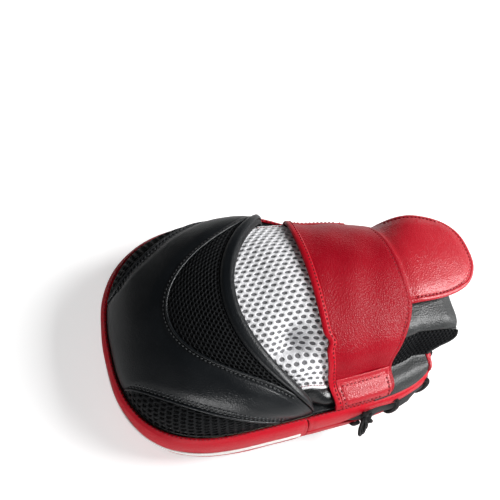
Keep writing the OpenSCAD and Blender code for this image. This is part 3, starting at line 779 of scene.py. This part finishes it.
def openwork(x_span, y_span, inside, point, pitch, row, hole, thick):
    """Knitted mesh with staggered oval holes: strands crest at the cell borders and dip to the holes."""
    corners = [(0, 2 * row / 3), (pitch / 2, row / 3), (pitch / 2, -row / 3),
               (0, -2 * row / 3), (-pitch / 2, -row / 3), (-pitch / 2, row / 3)]
    ring = []
    for a, b in zip(corners, corners[1:] + corners[:1]):
        ring.append(a)
        ring.append(((a[0] + b[0]) / 2, (a[1] + b[1]) / 2))
    ring = np.array(ring)
    count = len(ring)
    turn = np.arctan2(ring[:, 1] / row, ring[:, 0] / pitch)
    oval = np.stack([hole[0] * np.cos(turn), hole[1] * np.sin(turn)], -1)
    mid_ring = ring * 0.45 + oval * 0.55
    levels = [(ring, 0.0), (mid_ring, 0.12 * thick), (oval * 1.04, 0.5 * thick), (oval, thick)]
    flat, depth, faces, shared = [], [], [], {}
    for j in range(int((y_span[1] - y_span[0]) / row) + 1):
        for i in range(int((x_span[1] - x_span[0]) / pitch) + 1):
            centre = np.array([x_span[0] + (i + 0.5 * (j % 2)) * pitch, y_span[0] + j * row])
            if not inside(*centre):
                continue
            loops = []
            for level, (shape, sink) in enumerate(levels):
                loop = []
                for spot in shape + centre:
                    new = len(flat)
                    if level == 0:
                        new = shared.setdefault((round(spot[0], 2), round(spot[1], 2)), new)
                    if new == len(flat):
                        flat.append(spot)
                        depth.append(sink)
                    loop.append(new)
                loops.append(loop)
            for outer, inner in zip(loops, loops[1:]):
                for k in range(count):
                    n = (k + 1) % count
                    faces.append((outer[k], outer[n], inner[n], inner[k]))
    flat = np.array(flat)
    return point(flat[:, 0], flat[:, 1], np.array(depth)), faces


# Pad
def drawn(inset):
    """Inset of a foam layer that stays back from the laced slit."""
    def inset_at(angle):
        return inset + (LACE_ROOM + FOAM_HIDE) * laced(angle)
    return inset_at


def bulged(angle):
    """Inset of the core foam, which swells out through the laced slit."""
    return CORE_INSET - CORE_SWELL * slit_open(angle) * (0.55 + 0.45 * scallop(angle))


cover_insets = [steady(COVER_INSET)] * 2
layer = disc((0, COVER_THICK), cover_insets, 1.4, crown=1.8, uneven=0.5)
face = make("striking_face", layer, BLACK, "front_cover")
layer = disc((FACE_LOW, FACE_TOP), (steady(FOAM_INSET), drawn(foam_inset(FACE_TOP))), 2.5)
make("face_foam_layer", layer, FOAM, "face_foam")
layer = disc((CORE_LOW, CORE_TOP), (bulged, bulged), 4.5)
make("core_foam_layer", layer, DENSE_FOAM, "core_foam")
back_insets = (drawn(foam_inset(BACK_FOAM_LOW)), steady(FOAM_INSET))
layer = disc((BACK_FOAM_LOW, BACK_LOW - SEAM_GAP), back_insets, 2.5)
make("back_foam_layer", layer, FOAM, "back_foam")
make("back_leather", disc((BACK_LOW, PAD_THICK), cover_insets, 1.4), BLACK, "back_panel")

# Rim
face_edge, back_edge = map(steady, RIM_EDGES)
finger_span = between(rim_point, LACE_HALF_ANGLE + RIM_JOINT, 360 - RIM_JOINT - LACE_HALF_ANGLE,
                      face_edge, back_edge)
band = panel(finger_span, (260, 40), (0, RIM_THICK), 1.2, 0.5, 12, [(RIM_STITCH, 0.35)], 0.3, 5)
make("finger_rim_band", band, RIM_RED, "finger_rim")
upper_edges = (slit_edge(shut=91.5, gape=24, drawn_back=11), back_edge)
lower_edges = (face_edge, slit_edge(shut=88.5, gape=-26, drawn_back=-4))
for level, edges, seed in (("upper", upper_edges, 6), ("lower", lower_edges, 7)):
    wrist_span = between(rim_point, -LACE_HALF_ANGLE, LACE_HALF_ANGLE, *edges)
    band = panel(wrist_span, (240, 22), (0, RIM_THICK), 1.2, 0.4, 8, [(RIM_STITCH, 0.3)], 0.3, seed)
    make("wrist_rim_" + level + "_band", band, RIM_RED, "wrist_rim_" + level)
piping_span = between(rim_point, LACE_HALF_ANGLE + PIPING_SHORT, 360 - PIPING_SHORT - LACE_HALF_ANGLE,
                      *map(steady, PIPING_EDGES))
line = panel(piping_span, (240, 6), (-SEAM_GAP - 0.9, 0.2), 0.8, 0.2, 3, uneven=0.05)
make("rim_piping_line", line, WHITE, "rim_piping")
around = np.linspace(0, 360, 900)
rows = [stitches(rim_point(around, steady(section)(around), depth)) for section, depth in RIM_ROWS]
make("rim_stitches", joined(rows), RED_THREAD, closed=False)


# Lace
def lace_route():
    """Turns of the lace, out over the slit and back inside it from hole to hole."""
    turn = np.linspace(90, 90 + 360 * LACE_STEPS, 34 * LACE_STEPS)
    loop = np.floor(turn / 360)
    part = turn - 360 * loop
    out = np.sign(sin_deg(part)) * np.abs(sin_deg(part)) ** 0.4
    section = 90 + LACE_HOLE_ANGLE * cos_deg(part) + LACE_LIFT * np.maximum(0, cos_deg(part))
    route = rim_point(lace_angle(loop + ramp(part, 180, 360)), section, RIM_THICK / 2 - LACE_OFFSET * out)
    route[1:-1] = (route[:-2] + 2 * route[1:-1] + route[2:]) / 4
    return route


def knot(step, section, lean, loops, tails):
    """Tied end of the lace: a knot with its loops and loose ends."""
    centre = rim_point(lace_angle(step), section, -KNOT_PROUD)
    normal = centre - rim_point(lace_angle(step), section, RIM_THICK)
    normal /= np.linalg.norm(normal)
    down = np.array([0, 0, -1.0]) - normal * -normal[2]
    down /= np.linalg.norm(down)
    along = np.cross(normal, down) * lean
    a = np.linspace(0, 2 * np.pi, 90)
    trefoil = np.stack([np.sin(a) + 2 * np.sin(2 * a), np.cos(a) - 2 * np.cos(2 * a),
                        -1.3 * np.sin(3 * a)], -1)
    parts = [tube(centre + KNOT_SIZE * trefoil @ np.stack([along, down, normal]), KNOT_CORD)]
    q = np.linspace(0, 1, 40)[:, None]
    for side, drop, width in loops:
        away = along * side + down * drop + normal * 2
        broad = np.cross(away, normal)
        broad *= width / np.linalg.norm(broad)
        parts.append(tube(centre + away * np.sin(np.pi * q) + broad * np.sin(2 * np.pi * q), LOOP_CORD))
    for side, drop, proud in tails:
        bend = along * side * q ** 0.8 + down * drop * q ** 1.3 + normal * proud * np.sin(np.pi * q)
        parts.append(tube(centre + bend, TAIL_CORD))
    return parts


cords = [tube(lace_route(), LACE_RADIUS + 0.2, 12)]
cords += knot(0, section=118, lean=1, loops=BOW_LOOPS, tails=BOW_TAILS)
cords += knot(LACE_STEPS, section=96, lean=-1, loops=(), tails=FAR_TAILS)
make("rim_lace_cord", joined(cords), LACE, "rim_lace")


# Hood
def seam_share(t):
    return np.minimum(0.02, SEAM_GAP * 0.6 / hood_run(t))


def seam_side(edge, way):
    """Edge of a piece above (1) or below (-1) a seam of the hood."""
    def value_at(t):
        return edge(t) + way * seam_share(t)
    return value_at


def hood_skin_low(t):
    return np.where(gusset_edge(t) > 0.001, gusset_edge(t) + seam_share(t), 0)


binding_edge = steady(BINDING_FROM)
hood_skin = between(hood_point, *HOOD_SPAN, hood_skin_low, seam_side(crescent_edge, -1))
skin = panel(hood_skin, (150, 64), (0, HOOD_THICK), 1.2, 1.3, 16, [(2.2, 0.3), (5.2, 0.3)], 0.35, 11)
hood = make("hood_leather", skin, BLACK, "hood_panel")
hood_inside = between(hood_point, *HOOD_SPAN, steady(0), steady(1))
lining = panel(hood_inside, (110, 50), (LINING_TOP, LINING_TOP + LINING_THICK), 1.7)
make("hood_lining_pad", lining, LINING, "hood_lining")
hood_edge = between(hood_point, *HOOD_SPAN, seam_side(binding_edge, 1), steady(1))
roll = panel(hood_edge, (150, 18), (-0.8, HOOD_THICK + 0.6), 2.6, 1.1, 4, uneven=0.1, seed=12)
make("hood_binding_roll", roll, BLACK, "hood_binding")

crescent = between(hood_point, CRESCENT_CUT, 1 - CRESCENT_CUT,
                   seam_side(crescent_edge, 1), seam_side(binding_edge, -1))
make("hood_crescent_backing", panel(crescent, (60, 24), (1.5, HOOD_THICK), 0.3), LINING)
crescent_t = np.linspace(CRESCENT_FROM, 1 - CRESCENT_FROM, 400)
crescent_gone = lengths(hood_point(crescent_t, steady(0.78)(crescent_t), 0.0), 0)


def crescent_spot(x, y):
    t = np.interp(x, crescent_gone, crescent_t)
    return t, BINDING_FROM - y / hood_run(t)


def crescent_inside(x, y):
    t, r = crescent_spot(x, y)
    in_hood = CRESCENT_CUT < t < 1 - CRESCENT_CUT
    return in_hood and crescent_edge(t) - 0.006 < r < BINDING_FROM + 0.012


def crescent_at(x, y, depth):
    t, r = crescent_spot(x, y)
    low = crescent_edge(t)
    share = np.clip((r - low) / np.maximum(BINDING_FROM - low, 0.01), 0, 1)
    return hood_point(t, r, 0.6 + depth - np.sin(np.pi * share) ** 0.6)


knit = openwork((0, crescent_gone[-1]), (-3, 70), crescent_inside, crescent_at, **CRESCENT_KNIT)
make("hood_crescent_mesh", knit, BLACK_MESH, "hood_mesh_crescent", closed=False)


def gusset(side, t0, t1):
    """Mesh insert between the hood and the rim, with a dark backing."""
    region = between(hood_point, t0, t1, steady(0), seam_side(gusset_edge, -1))
    make(side + "_gusset_backing", panel(region, (60, 20), (1.4, HOOD_THICK), 0.3), LINING)
    rim_t = np.linspace(t0, t1, 400)
    rim_gone = lengths(hood_point(rim_t, steady(0.25)(rim_t), 0.0), 0)

    def spot(x, y):
        t = np.interp(x, rim_gone, rim_t)
        return t, y / hood_run(t)

    def inside(x, y):
        t, r = spot(x, y)
        return -0.01 < r < gusset_edge(t) + 0.01 and y > -1

    def at(x, y, depth):
        t, r = spot(x, y)
        share = np.clip(r / np.maximum(gusset_edge(t), 0.02), 0, 1)
        return hood_point(t, np.maximum(r, 0), 0.3 + depth - 1.2 * np.sin(np.pi * share) ** 0.7)

    mesh = openwork((0, rim_gone[-1]), (0, 60), inside, at, **GUSSET_KNIT)
    make(side + "_gusset_mesh", mesh, BLACK_MESH, side + "_gusset", closed=False)


gusset("near", GUSSET_FROM + 0.002, GUSSET_REACH - 0.002)
gusset("far", 1.002 - GUSSET_REACH, 0.998 - GUSSET_FROM)

# Hood seams
near_t = np.linspace(GUSSET_FROM + 0.001, GUSSET_REACH - 0.001, 300)
welts = []
rows = []
for t in (near_t, 1 - near_t):
    welts.append(welt(hood_point(t, gusset_edge(t), -0.5)))
    for distance, depth in SEAM_ROWS:
        rows.append(stitches(hood_point(t, gusset_edge(t) + distance / hood_run(t), depth)))
seam_t = np.linspace(0.15, 0.85, 500)
welts.append(welt(hood_point(seam_t, crescent_edge(seam_t), -0.4)))
distance, depth = SEAM_ROWS[0]
rows.append(stitches(hood_point(seam_t, crescent_edge(seam_t) - distance / hood_run(seam_t), depth)))
make("hood_welts", joined(welts), BLACK)
make("hood_stitches", joined(rows), BLACK_THREAD, closed=False)


# Hand cover
def mesh_left(t):
    return opening_u(t) - MESH_TUCK * np.abs(sin_deg(180 * t)) ** 2


def dent(u, t):
    """Hollow, crease and bulge of the slack hand mesh beside the strap."""
    hollow = 15.0 * np.exp(-((u - 6) / 10) ** 2 - ((t - 0.34) / 0.05) ** 2)
    crease = 6.0 * np.exp(-((t - 0.297) / 0.011) ** 2 - ((u - 1) / 12) ** 2)
    bulge = 3.4 * np.exp(-((u - 4) / 14) ** 2 - ((t - 0.235) / 0.035) ** 2)
    ripple = 0.7 * wave(np.stack([u, t * 190, 0 * u], -1), 26, 8)
    return (hollow + crease - bulge + ripple) * ramp(STRAP_START_U - u, -5, 8)


mesh_t = np.linspace(0.08, 0.92, 500)
mesh_gone = lengths(cover_point(mesh_t, 0 * mesh_t, 0.0), 0)


def mesh_inside(x, y):
    t = np.interp(y, mesh_gone, mesh_t)
    return SIDE_TOP < t < 1 - SIDE_TOP and mesh_left(t) < x < STRAP_START_U + MESH_TUCK


def slack_point(t, u, depth):
    return cover_point(t, u, depth + dent(u, t))


def mesh_at(x, y, depth):
    return slack_point(np.interp(y, mesh_gone, mesh_t), x, depth)


knit = openwork((-45, 37), (0, mesh_gone[-1]), mesh_inside, mesh_at, **HAND_KNIT)
hand_mesh = make("hand_mesh_knit", knit, WHITE_MESH, "hand_mesh", closed=False)
foot_u = np.linspace(float(mesh_left(SIDE_TOP)), STRAP_START_U + 2, 80)
rows = [stitches(slack_point(steady(t)(foot_u), foot_u, -0.3), pitch=2.6, length=2.0, radius=0.3)
        for t in (SIDE_TOP + 0.018, 0.982 - SIDE_TOP)]
make("hand_mesh_stitches", joined(rows), RED_THREAD, closed=False)
hems = [tube(slack_point(steady(t)(foot_u), foot_u, 0.5), 1.2) for t in (SIDE_TOP + 0.006, 0.994 - SIDE_TOP)]
mesh_hem = make("hand_mesh_hem", joined(hems), WHITE_MESH)
mesh_back = between(slack_point, SIDE_TOP, 1 - SIDE_TOP, mesh_left, steady(STRAP_START_U + MESH_TUCK))
backing = panel(mesh_back, (90, 40), (1.1, MESH_THICK), 0.3)
mesh_inner = make("hand_mesh_inner", backing, GREY_MESH)

for side, t0, t1 in (("near", 0.001, SIDE_TOP - 0.001), ("far", 1.001 - SIDE_TOP, 0.999)):
    strip = between(cover_point, t0, t1, beside(opening_u, -STRIP_TUCK), steady(STRAP_START_U + SIDE_TUCK))
    skin = panel(strip, (30, 40), (0, MESH_THICK), 0.8, 0.2, 4, [(2.0, 0.15)], 0.25, 21)
    make(side + "_side_strip_band", skin, GLOSSY, side + "_side_strip")

# Strap
strap = between(strap_point, 0.001, 0.999, strap_left, strap_right)
skin = panel(strap, (170, 70), (0, STRAP_THICK), 1.6, 0.5, 3, [(STRAP_HEM, 0.5)], 0.5, 31)
make("hand_strap_leather", skin, STRAP_RED_PAINTED_SHADE, "hand_strap")
fold = between(strap_point, 0.004, 0.996, strap_left, beside(strap_left, STRAP_BINDING_W - 1.3))
roll = panel(fold, (170, 16), (-SEAM_GAP - 1.4, 0.6), 1.8, 0.6, 5, uneven=0.2, seed=32)
make("strap_binding_fold", roll, RIM_RED, "strap_binding")
rows = []
for side, t0, t1 in (("near", 0.004, 0.185), ("far", 0.87, 0.996)):
    tab = between(strap_point, t0, t1, beside(strap_left, STRAP_BINDING_W - 1.2), beside(strap_right, -3))
    patch = panel(tab, (40, 60), (-SEAM_GAP - 1.2, -0.1), 1.0, 0.35, 7, [(3.0, 0.4)], 0.2, 33)
    make(side + "_strap_tab_patch", patch, RED, side + "_strap_tab")
    s = (np.linspace(t0 + 0.018, t1 - 0.018, 60) - t0) / (t1 - t0)
    x = np.linspace(0.09, 0.91, 120)
    rows += [stitches(tab(s, steady(edge)(s), -1.65)) for edge in (0.06, 0.94)]
    rows += [stitches(tab(steady(edge)(x), x, -1.65)) for edge in (0.16, 0.84)]
long_t = np.linspace(0.01, 0.99, 500)
rows.append(stitches(strap_point(long_t, strap_left(long_t) + STRAP_BINDING_W - 2.7, -2.0)))
hem_t = np.linspace(0.17, 0.83, 500)
rows.append(stitches(strap_point(hem_t, strap_right(hem_t) - STRAP_HEM, -0.1)))
make("strap_stitches", joined(rows), RED_THREAD, closed=False)


# Wrist flap
def flap_region(s0, s1, scale):
    def surface(a, b, depth):
        s = s0 + (s1 - s0) * np.sin(a * np.pi / 2)
        return flap_point(s, FLAP_OFFSET + flap_half(s) * scale * (2 * b - 1), depth)
    return surface


def flap_leather(a, b, depth):
    """The flap's outer leather, with its root drawn in under the strap."""
    p = FLAP_ROOT + (FLAP_TIP - FLAP_ROOT) * a
    q = 2 * b - 1
    ahead = np.maximum(p, 1e-6)
    corner = (ahead ** FLAP_CURVE + np.abs(q) ** FLAP_CURVE) ** (1 / FLAP_CURVE)
    spread = np.maximum(ahead, np.abs(q)) / corner
    s = np.where(p > 0, p * spread, p)
    side = FLAP_WIDTH / 2 * q * spread - FLAP_ROOT_CUT * ramp(0.05 - s, 0, 0.11) * np.maximum(0, q)
    sunk = FLAP_ROOT_SINK * np.exp(-(np.maximum(0, s) * FLAP_LENGTH / 5) ** 2)
    return flap_point(s, FLAP_OFFSET + side, depth + sunk)


outer = panel(flap_leather, (120, 110), (-0.3, FLAP_THICK + 0.4), 2.2, 1.2, 14, [(3.8, 0.6)], 0.25, 41)
flap_piece = make("wrist_flap_leather", outer, RED, "wrist_flap", "flap_seam_strip", body=None)
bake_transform(flap_piece)
cloth = panel(flap_region(0.02, 0.95, 0.96), (50, 50), (LINING_LOW, LINING_LOW + FLAP_LINING_THICK), 0.6)
make("flap_lining_cloth", cloth, LINING, "flap_lining", body="flap")
hook = panel(flap_region(0.05, 0.42, 0.55), (40, 60), (HOOK_LOW, HOOK_LOW + TAPE_THICK), 0.5)
make("flap_hook_tape", hook, TAPE, "flap_hook_patch", body="flap")
a = np.radians(np.linspace(-88, 88, 400))
row_s = (FLAP_END - FLAP_STITCH / FLAP_LENGTH) * np.abs(np.cos(a)) ** (2 / FLAP_CURVE)
row_v = (FLAP_WIDTH / 2 - FLAP_STITCH) * np.sign(np.sin(a)) * np.abs(np.sin(a)) ** (2 / FLAP_CURVE)
row = stitches(flap_point(np.maximum(row_s, 0.04), FLAP_OFFSET + row_v, -0.35))
make("flap_stitches", row, RED_THREAD, body="flap", closed=False)

# Cuff
cuff_left = steady(CUFF_START_U)
band_right = beside(cuff_edge, -1)
cushion_flat = between(cuff_point, CUSHION_LOW, 1 - CUSHION_LOW, cuff_left, cuff_edge)


def cushion_span(s, x, depth):
    """The cushion: a full roll above each lower seam, falling away at its wrist edge."""
    roll = CUSHION_ROLL * np.exp(-((np.minimum(s, 1 - s) - 0.11) / 0.12) ** 2)
    return cushion_flat(s, x, depth - roll + CUSHION_FALL * ramp(x, 0.82, 1.0))


pad = panel(cushion_span, (90, 70), (0.4, CUSHION_THICK), 4.2, 0.3, 12, uneven=0.9, seed=51)
cushion = make("wrist_cushion_pad", pad, CUFF_BLACK_PAINTED_HIGHLIGHT, "wrist_cushion")
side_top = CUSHION_LOW + CUSHION_LAP
for side, t0, t1 in (("near", 0.001, side_top), ("far", 1 - side_top, 0.999)):
    cuff_side = between(cuff_point, t0, t1, cuff_left, cuff_edge)
    skin = panel(cuff_side, (50, 60), (0, CUFF_THICK), 1.1, 0.3, 8, uneven=0.6, seed=52)
    make(side + "_cuff_leather", skin, CUFF_BLACK_PAINTED_HIGHLIGHT, side + "_cuff_panel")
for side, t0, t1 in (("near", 0.004, 0.16), ("far", 0.84, 0.996)):
    trim = between(cuff_point, t0, t1, beside(cuff_edge, SEAM_GAP), beside(cuff_edge, CUFF_TRIM_W))
    roll = panel(trim, (60, 12), (-0.8, CUFF_THICK), 1.5, 0.2, 2, uneven=0.1, seed=53)
    make(side + "_cuff_binding_roll", roll, RED, side + "_cuff_binding")
band_t = np.linspace(BAND_LOW - 0.01, BAND_HIGH + 0.01, 200)
band_gone = lengths(cuff_point(band_t, steady(100)(band_t), 0.0), 0)


def band_inside(x, y):
    t = np.interp(y, band_gone, band_t)
    return BAND_LOW < t < BAND_HIGH and BAND_START_U < x < band_right(t)


def band_at(x, y, depth):
    return cuff_point(np.interp(y, band_gone, band_t), x, depth - SEAM_GAP - TAPE_THICK)


knit = openwork((BAND_START_U, CUFF_END_U), (0, band_gone[-1]), band_inside, band_at, **BAND_KNIT)
make("cuff_mesh_cloth", knit, BAND_MESH, "cuff_mesh_band", closed=False)
band = between(cuff_point, BAND_LOW, BAND_HIGH, steady(BAND_START_U), band_right)
hem_t = np.linspace(BAND_LOW - 0.005, BAND_HIGH, 60)
hem = tube(cuff_point(hem_t, cuff_edge(hem_t) - 0.8, -0.9), 1.1)
make("cuff_mesh_backing", joined([panel(band, (40, 70), (-0.5, -0.1), 0.15), hem]), (LINING[0], "black_mesh"))
patch = between(cuff_point, 0.43, 0.66, steady(FLAP_START_U + 3), steady(FLAP_START_U + PATCH_WIDTH))
loop_tape = panel(patch, (60, 24), (-SEAM_GAP - PATCH_THICK, -0.1), 0.4)
make("cuff_loop_tape", loop_tape, TAPE, "cuff_loop_patch")

# Palm grip
s, x = np.meshgrid(np.linspace(0, 1, 73), np.linspace(0, 1, 25), indexing="ij")
rise = GRIP_TOP_ANGLE * x
grip_u = GRIP_U + GRIP_HALF_LENGTH * cos_deg(rise) * cos_deg(360 * s)
grip_v = GRIP_HALF_WIDTH * cos_deg(rise) * sin_deg(360 * s)
points = place(grip_u, grip_v, DECK + GRIP_SAG + GRIP_HEIGHT * sin_deg(rise)).reshape(-1, 3)
grip = make("palm_grip_pad", (points, grid_faces(*s.shape)), BLACK, "palm_grip")

# Floor, in metres like the lights and the camera
FLOOR_SIZE = 12
FLOOR_LEVEL = -0.0006
FLOOR_GLOW = 0.5
bpy.ops.mesh.primitive_grid_add(x_subdivisions=4, y_subdivisions=4, size=FLOOR_SIZE,
                                location=(0, 0, FLOOR_LEVEL))
floor = bpy.context.object
floor.name = "floor"
material, tree, shader = new_material("pale_floor")
shader.inputs["Base Color"].default_value = (0.8, 0.8, 0.8, 1)
shader.inputs["Roughness"].default_value = 0.9
shader.inputs["Specular IOR Level"].default_value = 0.1
shader.inputs["Emission Color"].default_value = (1, 1, 1, 1)
path = add(tree, "ShaderNodeLightPath")
glow = math_node(tree, "MULTIPLY", path.outputs["Is Camera Ray"], FLOOR_GLOW)
link(tree, glow, shader.inputs["Emission Strength"])
floor.data.materials.append(material)

# World: white to the camera, and a soft room darker overhead and behind for the object
world = bpy.data.worlds.new("studio")
scene.world = world
world.use_nodes = True
tree = world.node_tree
back = tree.nodes["Background"]
back.inputs["Color"].default_value = (1, 1, 1, 1)
path = add(tree, "ShaderNodeLightPath")
seen = math_node(tree, "MAXIMUM", path.outputs["Is Camera Ray"], path.outputs["Is Transmission Ray"])
way = add(tree, "ShaderNodeSeparateXYZ")
link(tree, add(tree, "ShaderNodeTexCoord").outputs["Generated"], way.inputs[0])
walls = spread_values(tree, way.outputs["Z"], 0.0, 0.55, 0.5, 0.10)
front = spread_values(tree, way.outputs["Y"], -0.3, 0.6, 1.0, 0.3)
level = math_node(tree, "MAXIMUM", math_node(tree, "MULTIPLY", walls, front), seen)
link(tree, level, back.inputs["Strength"])


# Lights
def area_light(name, spot, target, size, power):
    light = bpy.data.lights.new(name, "AREA")
    light.size = size
    light.energy = power
    lamp = new_object(name, light)
    lamp.location = spot
    lamp.rotation_euler = (Vector(target) - Vector(spot)).to_track_quat("-Z", "Y").to_euler()


area_light("key_light", (1.14, -0.20, 0.98), (0, 0, 0.04), size=0.8, power=38.0)
area_light("front_light", (-0.55, -1.05, 0.36), (0, 0, 0.03), size=0.5, power=7.0)

# Camera at the photograph's viewing angle, in radians and metres
CAMERA_TURN = -0.447255
CAMERA_HEIGHT = 1.064357
CAMERA_ROLL = 0.238807
CAMERA_SPOT = (-0.190096, -0.286800, 0.743843)
CAMERA_LENS = 69.62
lens = bpy.data.cameras.new("camera")
lens.lens = CAMERA_LENS
camera = new_object("camera", lens)
turn = Matrix.Rotation(CAMERA_TURN, 4, "Z")
tilt = Matrix.Rotation(math.pi / 2 - CAMERA_HEIGHT, 4, "X")
roll = Matrix.Rotation(CAMERA_ROLL, 4, "Z")
camera.matrix_world = Matrix.Translation(CAMERA_SPOT) @ turn @ tilt @ roll
scene.camera = camera
scene.view_settings.view_transform = "Standard"
